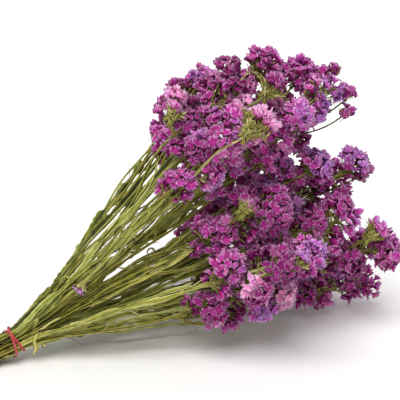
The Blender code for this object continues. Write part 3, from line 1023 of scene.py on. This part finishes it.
def addBranches(sprig):
    # the main branch through the head, and a winged branch to each cluster
    stem, axis, length = sprig["line"], sprig["axis"], sprig["length"]
    pile, rng, tone = sprig["pile"], sprig["rng"], sprig["tone"]
    root = stem[-1] - sprig["ahead"] * 0.001
    reach = axis * length * headSet["trunkReach"]
    trunk, pace = curveThrough([root, root + reach / 2, root + reach], headSet["branchStep"])
    wingedShell(pile, trunk, pace, rng, evenWings(headSet["branchWing"]), headSet["trunkCore"], tone,
                taper=0.5)
    for number, cluster in enumerate(sprig["clusters"]):
        base = cluster["centre"] - cluster["facing"] * cluster["radius"] * headSet["branchEnd"]
        cluster["base"] = base
        at = cluster["station"]
        if number < len(headSet["longStart"]):
            low, high = headSet["longStart"][number]
            at = round(rng.uniform(low, high) * (len(stem) - 2))
        if at is None:
            line = nearBranch(sprig, cluster, root, base)
        else:
            line = longBranch(sprig, cluster, at, base)
        ahead = (line[-1] - line[-2]).normalized()
        side = ahead.orthogonal().normalized()
        for _ in range(headSet["branchLeaves"]):
            out = around(side, ahead.cross(side), rng.uniform(0, fullTurn))
            foot = line[round((len(line) - 1) * rng.uniform(0.35, 0.95))]
            addLeaf(pile, foot, (ahead + out * 0.35).normalized(), out, rng.uniform(*headSet["leafLength"]),
                    rng.uniform(*headSet["leafWidth"]), rng, tone + 0.2)


def addArms(pile, cluster, rng, spots):
    # short arms that spread from the branch's end, clad in pointed bracts; a comb's
    # are a fan of spikes, nearer to the lens than the florets at its top
    facing, radius, comb, back = cluster["facing"], cluster["radius"], cluster["comb"], photoView["back"]
    across = facing.cross(back).normalized() if comb else facing.orthogonal().normalized()
    turn = rng.uniform(0, fullTurn)
    arms, tufts, first = headSet["arms"], headSet["armTufts"], 1.6
    if comb:
        arms, tufts, first = headSet["combArms"], headSet["combTufts"], 0.4
    for k in range(arms):
        angle = turn + math.tau * k / arms + rng.uniform(-0.3, 0.3)
        out = around(across, facing.cross(across), angle)
        tip = out * headSet["armReach"] - facing * rng.uniform(0.12, 0.34)
        if comb:
            out = across * (2 * k / (arms - 1) - 1) + back * rng.uniform(0.1, 0.5)
            tip = out * headSet["combReach"] + facing * rng.uniform(0.0, 0.5)
        line = bendBetween(cluster["base"], (facing + out * 0.5).normalized(),
                           cluster["centre"] + tip * radius, (out * 0.8 + facing * 0.6).normalized())
        addThread(pile, line, headSet["armRadius"], 0.5, headSet["branchStep"])
        for j in range(tufts):
            part = first + (5.4 - first) * j / (tufts - 1)
            i = min(int(part), 5)
            way = (line[i + 1] - line[i]).normalized()
            size = rng.uniform(*headSet["tuftSize"])
            if comb:
                way = (way + across * (0.7 if j % 2 else -0.7) + back * 0.2).normalized()
                size *= headSet["combTuft"]
            spots.append({"place": line[i].lerp(line[i + 1], part - i), "way": way,
                          "spin": rng.uniform(0, fullTurn), "size": size, "tint": 0.0, "blush": 0.0,
                          "shade": 0.0, "pick": rng.randrange(100)})


def floretSpots(clusters, rng):
    # one spot for each floret: its foot, which way it opens, its spin and size
    spots = []
    length, lean = headSet["floretLength"], headSet["floretTurn"]
    shared, own, high = headSet["shadeShares"]
    for cluster in clusters:
        lowest = math.cos(math.radians(headSet["combSpread" if cluster["comb"] else "floretSpread"]))
        facing, radius = cluster["facing"], cluster["radius"]
        long = facing.orthogonal().normalized()
        long = around(long, facing.cross(long), rng.uniform(0, fullTurn))
        wide = facing.cross(long)
        count = headSet["floretCount"] * (radius / headSet["countRadius"]) ** 2
        count = round(count * cluster["full"])
        swell = [rng.uniform(*headSet["swell"]) for _ in range(headSet["swells"])]
        for k in range(count):
            rise = 1 - (k + 0.5) / count * (1 - lowest)
            flat = math.sqrt(max(0.0, 1 - rise * rise))
            turn = k * headSet["goldenTurn"] + rng.uniform(-0.3, 0.3)
            dome = around(long, wide, turn) * flat + facing * rise
            jitter = Vector([rng.gauss(0, 1) for _ in range(3)]) * headSet["jitter"]
            way = (dome * lean + facing * (1 - lean) + jitter).normalized()
            size = rng.uniform(*headSet["floretSize"])
            lobe = swell[int(turn / math.tau * len(swell)) % len(swell)]
            place = cluster["centre"] + dome * radius * lobe * rng.uniform(0.88, 1.04) - way * length * size
            # tipped down florets end above the floor too
            rim = calyxSet["mouth"] * size * math.sqrt(max(0.0, 1 - way.z * way.z))
            place.z = max(place.z, headSet["floorGap"] + rim - min(way.z, 0.0) * length * size)
            # shade: random for the cluster and the floret, plus painted light by the floret's height on the
            # dome
            spots.append({"place": place, "way": way, "spin": rng.uniform(0, fullTurn), "size": size,
                          "tint": rng.random(), "blush": cluster["blush"] * rng.uniform(0.6, 1.0),
                          "shade": shared * cluster["shade"] + own * rng.random() + high * rise,
                          "pick": rng.randrange(100)})
    return spots


# the shapes that repeat: nine crumpled calyces and four tufts of bracts

calyxSet = {
    "shapes": 9,
    "lobes": 5,
    "length": 12.0 * millimetre,
    "mouth": 6.6 * millimetre,
    # points round each ring, its height and radius as shares of length and
    # mouth, its reach, and inside or not
    "rings": ((10, 0.42, 0.20, 0.40, 0), (10, 0.78, 0.58, 0.76, 0), (20, 1.00, 1.00, 1.00, 0),
              (10, 0.80, 0.52, 0.78, 1)),
    "throat": 0.92,                     # height of the ruffled middle, and its reach
    "throatReach": 0.80,
    "pleat": 0.84,                      # how deep the pleats are cut below the rim
    "rimRadius": (0.84, 1.02, 0.94, 1.02),   # nick between lobes, shoulder, fold, shoulder
    "rimHeight": (-0.08, 0.05, -0.05, 0.05),
    "rimFold": (0.3, 1.0, 0.6, 1.0),
    "crumple": 0.17,
    "tilt": 0.24, "lobeLift": 0.12, "ripple": 0.06,
    "squash": (0.34, 0.92),             # from folded like a fan to almost round
}
bractSet = {
    "shapes": 4,
    "length": 7.4 * millimetre,
    "width": 2.1 * millimetre,
    "stalkRings": ((-7.5, 0.4), (1.0, 0.6)),             # height and radius in mm
    "outline": ((0.0, 0.4, 0.4), (0.5, 1.0, 1.1), (1.0, 0.06, 1.9)),   # height, width, lean
    "thick": 0.4 * millimetre,
    "long": (0.7, 1.15), "wide": (0.8, 1.1), "flare": (0.8, 1.9),
}


def bridgeRings(first, firstCount, second, secondCount):
    # faces between two rings of points, of which one may have twice as many
    faces, count = [], min(firstCount, secondCount)
    for k in range(count):
        j = (k + 1) % count
        a, b, c = 2 * k, 2 * k + 1, 2 * j
        if firstCount == secondCount:
            faces.append((first + k, first + j, second + j, second + k))
        elif secondCount > firstCount:
            faces += [(first + k, second + b, second + a), (first + k, first + j, second + b),
                      (first + j, second + c, second + b)]
        else:
            faces += [(first + a, first + b, second + k), (first + b, second + j, second + k),
                      (first + b, first + c, second + j)]
    return faces


def makeCalyxShape(number, rng, settings):
    # a pleated paper funnel with an inside and a crinkled rim, standing on its
    # stalk end at the origin
    length, mouth, crumple = settings["length"], settings["mouth"], settings["crumple"]
    low, high = settings["squash"]
    squash = low + (high - low) * number / max(settings["shapes"] - 1, 1)
    tilt = rng.uniform(-settings["tilt"], settings["tilt"])
    lobeLift = [rng.uniform(-settings["lobeLift"], settings["lobeLift"]) for _ in range(settings["lobes"])]
    points, marks, starts = [Vector((0, 0, 0))], [(0.0, 0.0, 0.5)], []
    for count, height, radius, reach, inside in settings["rings"]:
        starts.append((len(points), count))
        perLobe = count // settings["lobes"]
        loose = max(0.0, (reach - 0.5) * 2)      # the stalk end is stiff, the rim isn't
        for k in range(count):
            part = k % perLobe
            if reach == 1.0:
                wide, lift, fold = (settings[m][part] for m in ("rimRadius", "rimHeight", "rimFold"))
            else:
                wide, lift, fold = (settings["pleat"], 0.0, 0.0) if part == 0 else (1.0, 0.0, 1.0)
            a = math.tau * k / count + crumple * loose * rng.uniform(-0.6, 0.6)
            r = mouth * radius * wide * (1 + crumple * loose * rng.uniform(-1, 1))
            z = height + lift + loose * (lobeLift[k // perLobe] + tilt * math.cos(a)
                                         + settings["ripple"] * rng.uniform(-1, 1))
            points.append(Vector((r * math.cos(a), r * math.sin(a) * squash, z * length)))
            marks.append((reach, float(inside), fold))
    points.append(Vector((0, 0, length * settings["throat"])))
    marks.append((settings["throatReach"], 1.0, 0.8))
    first, count = starts[0]
    faces = [(0, first + (k + 1) % count, first + k) for k in range(count)]
    for (first, count), (second, secondCount) in zip(starts, starts[1:]):
        faces += bridgeRings(first, count, second, secondCount)
    first, count = starts[-1]
    faces += [(first + k, first + (k + 1) % count, len(points) - 1) for k in range(count)]
    mesh = newMesh("calyxShape%d" % number, points, faces)
    for name, values in zip(("reach", "inner", "fold"), zip(*marks)):
        writeMark(mesh, name, "FLOAT", values)
    return mesh


def makeBractShape(number, rng, settings):
    # a stalk end with two or three pointed bracts that clasp the calyx's foot
    pile = newPile()
    ahead, x, y = Vector((0, 0, 1)), Vector((1, 0, 0)), Vector((0, 1, 0))
    rings = [[around(x, y, a) * r * millimetre + ahead * z * millimetre for a in threeSides]
             for z, r in settings["stalkRings"]]
    addShell(pile, rings, rings, 0.3, leaf=0.5)
    for k in range(2 + number % 2):
        out = around(x, y, k * 3.1 + rng.uniform(-0.5, 0.5))
        across = ahead.cross(out)
        long = settings["length"] * rng.uniform(*settings["long"])
        wide = settings["width"] * rng.uniform(*settings["wide"])
        flare = rng.uniform(*settings["flare"])
        rings = []
        for part, share, lean in settings["outline"]:
            middle = out * 0.001 * lean * flare + ahead * (long * part - 0.0012)
            rings.append([middle - across * wide * share / 2, middle - out * settings["thick"] * share,
                          middle + across * wide * share / 2])
        addShell(pile, rings, rings, rng.uniform(0.2, 0.9), leaf=1.0)
    piece = pileToObject("bractShape%d" % number, pile, airDriedStem)
    mesh = piece.data
    bpy.data.objects.remove(piece)
    return mesh


def makeShapes(name, build, settings, seed):
    shapes = bpy.data.collections.new(name)
    bpy.context.scene.collection.children.link(shapes)
    rng = random.Random(seed)
    for k in range(settings["shapes"]):
        shapes.objects.link(bpy.data.objects.new("%s%d" % (name, k), build(k, rng, settings)))
    return shapes


def dropObject(thing):
    mesh = thing.data
    bpy.data.objects.remove(thing)
    bpy.data.meshes.remove(mesh)


def dropShapes(shapes):
    for shape in list(shapes.objects):
        dropObject(shape)
    bpy.data.collections.remove(shapes)


calyxShapes = makeShapes("calyxShapes", makeCalyxShape, calyxSet, 7)
bractShapes = makeShapes("bractShapes", makeBractShape, bractSet, 8)


# the tree that sets a shape on every spot and joins it all to the piece

def makeScatterTree():
    tree = bpy.data.node_groups.new("setOnSpots", "GeometryNodeTree")
    for name, kind in (("Geometry", "Geometry"), ("Spots", "Object"), ("Shapes", "Collection"),
                       ("Size", "Float"), ("Finish", "Material")):
        tree.interface.new_socket(name, in_out="INPUT", socket_type="NodeSocket" + kind)
    tree.interface.new_socket("Geometry", in_out="OUTPUT", socket_type="NodeSocketGeometry")
    given = addNode(tree, "NodeGroupInput").outputs
    spots = addNode(tree, "GeometryNodeObjectInfo", {"Object": given["Spots"]})
    shapes = addNode(tree, "GeometryNodeCollectionInfo", {"Collection": given["Shapes"],
                                                          "Separate Children": True,
                                                          "Reset Children": True})
    way, spin, size, pick = (
        addNode(tree, "GeometryNodeInputNamedAttribute", {"Name": name}, data_type=kind).outputs[0]
        for name, kind in (("way", "FLOAT_VECTOR"), ("spin", "FLOAT"), ("size", "FLOAT"), ("pick", "INT")))
    aimed = addNode(tree, "FunctionNodeAlignRotationToVector", {"Vector": way}, axis="Z")
    twirl = addNode(tree, "ShaderNodeCombineXYZ", {"Z": spin})
    twirl = addNode(tree, "FunctionNodeEulerToRotation", {"Euler": twirl.outputs["Vector"]})
    turned = addNode(tree, "FunctionNodeRotateRotation", {"Rotation": aimed.outputs["Rotation"],
                                                          "Rotate By": twirl.outputs["Rotation"]},
                     rotation_space="LOCAL")
    scale = addNode(tree, "ShaderNodeMath", {0: size, 1: given["Size"]}, operation="MULTIPLY")
    placed = addNode(tree, "GeometryNodeInstanceOnPoints",
                     {"Points": spots.outputs["Geometry"], "Instance": shapes.outputs["Instances"],
                      "Pick Instance": True, "Instance Index": pick,
                      "Rotation": turned.outputs["Rotation"], "Scale": scale.outputs["Value"]})
    joined = addNode(tree, "GeometryNodeJoinGeometry")
    tree.links.new(given["Geometry"], joined.inputs[0])
    tree.links.new(placed.outputs["Instances"], joined.inputs[0])
    real = addNode(tree, "GeometryNodeRealizeInstances", {"Geometry": joined.outputs["Geometry"]})
    finish = addNode(tree, "GeometryNodeSetMaterial", {"Geometry": real.outputs["Geometry"],
                                                       "Material": given["Finish"]})
    addNode(tree, "NodeGroupOutput", {"Geometry": finish.outputs["Geometry"]})
    return tree


scatterTree = makeScatterTree()


def spotsObject(spots):
    mesh = newMesh("spots", [spot["place"] for spot in spots], [])
    writeMark(mesh, "way", "FLOAT_VECTOR", flatten(spot["way"] for spot in spots))
    for name in ("spin", "size", "tint", "blush", "shade"):
        writeMark(mesh, name, "FLOAT", [spot[name] for spot in spots])
    writeMark(mesh, "pick", "INT", [spot["pick"] for spot in spots])
    return addObject("spots", mesh)


def emptyPiece(name):
    return addObject(name, bpy.data.meshes.new(name))


def scatterOn(piece, spots, shapes, finish):
    # sets the shapes on the spots by the tree, and leaves a plain mesh
    marker = spotsObject(spots)
    modifier = piece.modifiers.new("setOnSpots", "NODES")
    modifier.node_group = scatterTree
    values = {"Spots": marker, "Shapes": shapes, "Size": 1.0, "Finish": finish}   # at their drawn size
    for item in scatterTree.interface.items_tree:
        if item.in_out == "INPUT" and item.name in values:
            modifier[item.identifier] = values[item.name]
    depsgraph = bpy.context.evaluated_depsgraph_get()
    depsgraph.update()
    mesh = bpy.data.meshes.new_from_object(piece.evaluated_get(depsgraph), preserve_all_data_layers=True,
                                           depsgraph=depsgraph)
    piece.modifiers.remove(modifier)
    old, piece.data = piece.data, mesh
    bpy.data.meshes.remove(old)
    mesh.name = piece.name
    mesh.materials.clear()
    mesh.materials.append(finish)
    dropObject(marker)


def finishPiece(piece, node):
    # what would dip through the floor lies pressed just above it
    gap = headSet["floorGap"]
    for v in piece.data.vertices:
        if v.co.z < gap:
            v.co.z = gap * math.exp((v.co.z - gap) / headSet["pressDepth"])
    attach(piece, "root")
    if node:
        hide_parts(node)


stemNames = sorted(n for n in frame["nodes"] if n.startswith("stem_"))
sprigs = []
for number, stemName in enumerate(stemNames, 1):
    rng = random.Random(100 + number)
    pile = newPile()
    line, ahead, tone, step = makeStem(pile, stemName, rng)
    headName = stemName.replace("stem", "flower_head")
    clusters, axis, length = placeClusters(headName, line[-1], rng)
    beyond = [line[-1] + axis * step * k for k in range(1, round(length / step / 2))]
    sprigs.append({"pile": pile, "clusters": clusters, "stem": stemName, "head": headName, "rng": rng,
                   "line": line, "ahead": ahead, "tone": tone, "step": step, "axis": axis,
                   "length": length, "path": line + beyond})
addFrontClusters(sprigs, random.Random(77))
matchClusters([cluster for sprig in sprigs for cluster in sprig["clusters"]])
print("stems and clusters laid out:", len(sprigs))

for number, sprig in enumerate(sprigs, 1):
    addBranches(sprig)
    florets = floretSpots(sprig["clusters"], sprig["rng"])
    tufts = [f for f in florets if sprig["rng"].random() < headSet["tuftShare"]]
    for cluster in sprig["clusters"]:
        addArms(sprig["pile"], cluster, sprig["rng"], tufts)
    greens = pileToObject("wingedStem_%02d" % number, sprig["pile"], airDriedStem)
    scatterOn(greens, tufts, bractShapes, airDriedStem)
    finishPiece(greens, sprig["stem"])
    flowers = emptyPiece("calyxHead_%02d" % number)
    scatterOn(flowers, florets, calyxShapes, paperyCalyx)
    finishPiece(flowers, sprig["head"])
print("heads in flower")


# the rubber band: the tied solid, rounded off

def makeBand():
    node = frame["nodes"]["rubber_band"]
    mesh = node.data.copy()
    mesh.transform(node.matrix_world)
    band = addObject("woundBand", mesh)
    weld = band.modifiers.new("weld", "WELD")
    weld.merge_threshold = 0.01 * millimetre
    roundOff = band.modifiers.new("roundOff", "SUBSURF")
    roundOff.levels = roundOff.render_levels = 1
    depsgraph = bpy.context.evaluated_depsgraph_get()
    rounded = bpy.data.meshes.new_from_object(band.evaluated_get(depsgraph), depsgraph=depsgraph)
    band.modifiers.clear()
    band.data = rounded
    rounded.shade_smooth()
    rounded.materials.clear()
    rounded.materials.append(stretchedRubber)
    finishPiece(band, "rubber_band")


makeBand()


# dry bits caught on the stems: a curled leaf by the band, threads and loose leaf ends

drySet = {
    # pixels of the photograph that each bit runs through, its width, tone and warmth
    "ribbons": (
        (((38, 319), (34, 327), (37, 334), (34, 341), (36, 348), (33.5, 355)), 6.6, 0.6, 0.7),
        (((36, 350), (39, 345), (43, 344), (46, 347)), 6.0, 1.0, 1.7),
        (((92, 276.5), (101, 276), (108, 272), (114, 268)), 2.6, 1.1, 1.0),
        (((117, 267), (124, 268.5), (128.5, 267), (132, 263)), 2.2, 0.9, 0.6),
        (((66, 331), (76, 325), (86, 321), (89, 317)), 3.0, 0.8, 0.5),
        (((101, 333), (109, 324), (114, 322), (115, 327)), 2.4, 0.7, 0.7),
        (((60, 309), (72, 302), (84, 300), (92, 302)), 2.8, 0.6, 0.5),
        (((40, 330), (52, 322), (60, 318)), 3.2, 0.9, 0.8),
    ),
    "threads": (
        ((58.9, 285.8), (53.5, 285.8), (50.2, 287.8), (48.2, 293.8)),
        ((59.6, 283.7), (58.5, 279.7), (60.9, 274.4)),
        ((24.8, 319.2), (32.1, 309.8), (40.2, 300.5), (44.2, 296.5)),
        ((44, 348.5), (49, 346), (53, 344.5)),
        ((122, 252), (125, 246), (129, 250), (126, 255)),
        ((104, 246), (108, 240), (112, 243)),
    ),
    "threadRadius": 0.55 * millimetre, "threadTone": -0.7,
    "proud": 3.2 * millimetre,       # in front of the stem that it lies on
    "threadProud": 1.28 * millimetre,
    "lowest": 1.2 * millimetre,
}


def makeStemSurface():
    corners, faces = [], []
    for name in stemNames:
        node = frame["nodes"][name]
        start = len(corners)
        corners += [node.matrix_world @ v.co for v in node.data.vertices]
        faces += [tuple(start + i for i in p.vertices) for p in node.data.polygons]
    return BVHTree.FromPolygons(corners, faces)


stemSurface = makeStemSurface()


def pixelPoints(pixels, proud):
    # the places on the stems that show at these pixels; past the stems' edge
    # a bit keeps the depth that it had on them
    rays = [pixelRay(pixel).normalized() for pixel in pixels]
    hits = [stemSurface.ray_cast(photoView["place"], ray)[3] for ray in rays]
    last = next((hit for hit in hits if hit is not None), (bandMiddle - photoView["place"]).length)
    points = []
    for ray, hit in zip(rays, hits):
        last = hit if hit is not None else last
        point = photoView["place"] + ray * (last - proud)
        point.z = max(point.z, drySet["lowest"])
        points.append(point)
    return points


def makeDryBits():
    pile, rng = newPile(), random.Random(31)
    for pixels, width, tone, warm in drySet["ribbons"]:
        addRibbon(pile, pixelPoints(pixels, drySet["proud"]), width * millimetre, tone, warm, rng)
    for pixels in drySet["threads"]:
        points = pixelPoints(pixels, drySet["threadProud"])
        foot = stemSurface.find_nearest(points[0])[0]
        addThread(pile, [foot] + points, drySet["threadRadius"], drySet["threadTone"])
    finishPiece(pileToObject("dryLeafBits", pile, airDriedStem), None)


makeDryBits()


# the fallen floret, caught between the stems

fallenSet = {
    **calyxSet,
    "shapes": 1,
    "length": 10.0 * millimetre,
    "mouth": 8.6 * millimetre,
    "squash": (0.7, 0.7),
    "way": (-0.45, -0.85, 0.25),     # wide mouth down and to the left, by the picture
    "spin": 0.9,
    "proud": 5.0 * millimetre,       # in front of the solid's middle
    "bracts": 7, "bractBack": 2.5 * millimetre, "bractFlare": 0.62,
    "bractLength": 10.5 * millimetre, "bractWidth": 6.0 * millimetre,
    "bractTone": 1.3, "bractWarm": 1.9,
}


def makeLooseFloret(settings):
    # it lies against its stem with its tan bracts up
    points = nodePoints("loose_floret")
    way = pictureWay(*settings["way"]).normalized()
    foot = (sum(points, Vector()) / len(points) - way * settings["length"] * 0.35
            + photoView["back"] * settings["proud"])
    shapes = makeShapes("fallenShapes", makeCalyxShape, settings, 7)
    floret = emptyPiece("fallenCalyx")
    scatterOn(floret, [{"place": foot, "way": way, "spin": settings["spin"], "size": 1.0, "tint": 0.5,
                        "blush": 0.1, "shade": 0.9, "pick": 0}], shapes, paperyCalyx)
    finishPiece(floret, "loose_floret")
    dropShapes(shapes)
    pile, rng = newPile(), random.Random(5)
    side = way.orthogonal().normalized()
    for k in range(settings["bracts"]):
        out = around(side, way.cross(side), math.tau * k / settings["bracts"])
        addLeaf(pile, foot - way * settings["bractBack"], (way + out * settings["bractFlare"]).normalized(),
                out, settings["bractLength"], settings["bractWidth"], rng, settings["bractTone"],
                settings["bractWarm"])
    finishPiece(pileToObject("fallenBracts", pile, airDriedStem), None)


makeLooseFloret(fallenSet)
dropShapes(calyxShapes)
dropShapes(bractShapes)
print("band, dry bits and fallen floret done")
